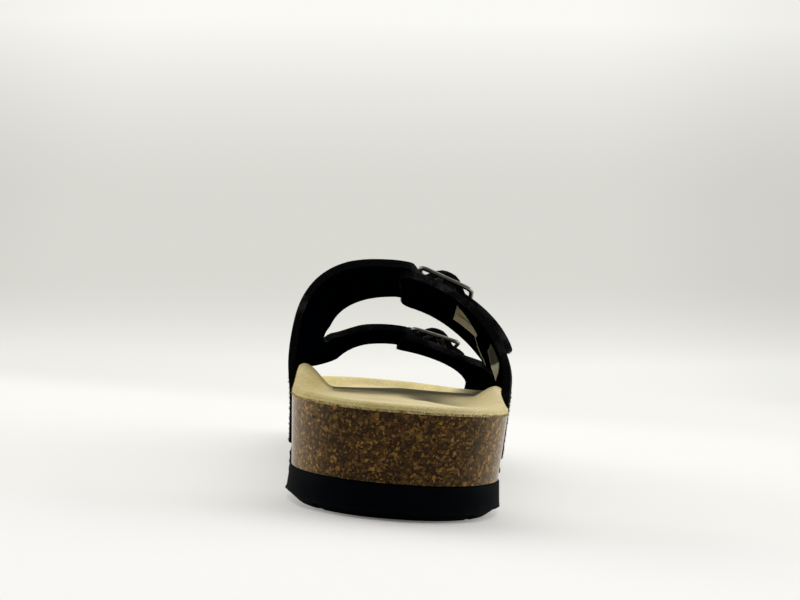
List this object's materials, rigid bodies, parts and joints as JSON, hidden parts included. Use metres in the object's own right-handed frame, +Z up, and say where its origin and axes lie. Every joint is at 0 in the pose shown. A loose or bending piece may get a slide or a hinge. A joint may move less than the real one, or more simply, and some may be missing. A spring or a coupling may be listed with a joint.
{
  "type": "sandal",
  "caption": "Right-foot slide sandal: contoured cork footbed with a suede insole, dark outsole and buckled straps over the instep and forefoot.",
  "frame": {"origin": "middle of the shoe's box seen from above, on the floor under the outsole", "axes": "+Y from heel to toe, +X towards the lateral (outer) side of this right shoe, +Z up"},
  "size_m": [0.0988, 0.264, 0.0872],
  "materials": {
    "eva_black": "matt moulded foam",
    "cork": "sealed granulated cork, soft gloss",
    "suede_cream": "napped suede",
    "strap_black": "matt nubuck with cut edges",
    "buckle_metal": "dull plated metal"
  },
  "bodies": {
    "root": {"outsole": "eva_black", "midsole": "cork", "insole": "suede_cream", "upper_medial": "strap_black", "upper_lateral": "strap_black", "buckle_rear": "buckle_metal", "prong_rear": "buckle_metal", "tab_rear": "strap_black", "buckle_front": "buckle_metal", "prong_front": "buckle_metal", "tab_front": "strap_black"}
  },
  "joints": []
}
